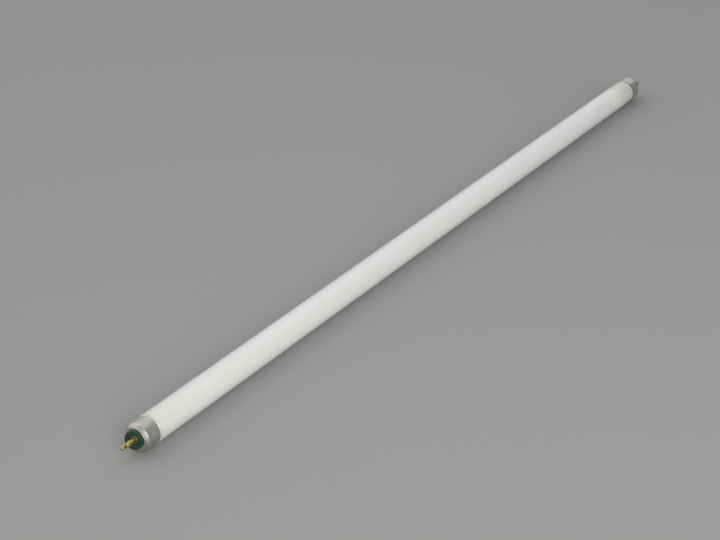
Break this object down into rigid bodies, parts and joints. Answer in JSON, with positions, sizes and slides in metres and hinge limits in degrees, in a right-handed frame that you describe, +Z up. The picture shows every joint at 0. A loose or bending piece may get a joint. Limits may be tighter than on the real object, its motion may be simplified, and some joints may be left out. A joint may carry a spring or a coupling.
{
  "type": "fluorescent tube",
  "caption": "Straight slim fluorescent tube of white coated glass, with aluminium end caps, green insulators and brass contact pins, for a lampholder at each end.",
  "frame": {"origin": "middle of the tube, on its axis", "axes": "+X along the tube towards the right cap, +Z up as it lies in the picture, -Y towards the picture's side"},
  "size_m": [0.5628, 0.016, 0.016],
  "materials": {
    "coated_glass": "smooth glass over a matt white inner coat",
    "cap_aluminium": "drawn, satin",
    "green_insulator": "moulded, slightly glossy",
    "pin_brass": "turned, slightly tarnished",
    "basing_cement": "cured resin cement",
    "lead_wire": "drawn wire"
  },
  "bodies": {
    "root": {"glass_tube": "coated_glass", "left_cap_shell": "cap_aluminium", "left_insulator": "green_insulator", "left_cement": "basing_cement", "left_upper_pin": "pin_brass", "left_upper_lead": "lead_wire", "left_lower_pin": "pin_brass", "left_lower_lead": "lead_wire", "right_cap_shell": "cap_aluminium", "right_insulator": "green_insulator", "right_cement": "basing_cement", "right_upper_pin": "pin_brass", "right_upper_lead": "lead_wire", "right_lower_pin": "pin_brass", "right_lower_lead": "lead_wire"}
  },
  "joints": []
}
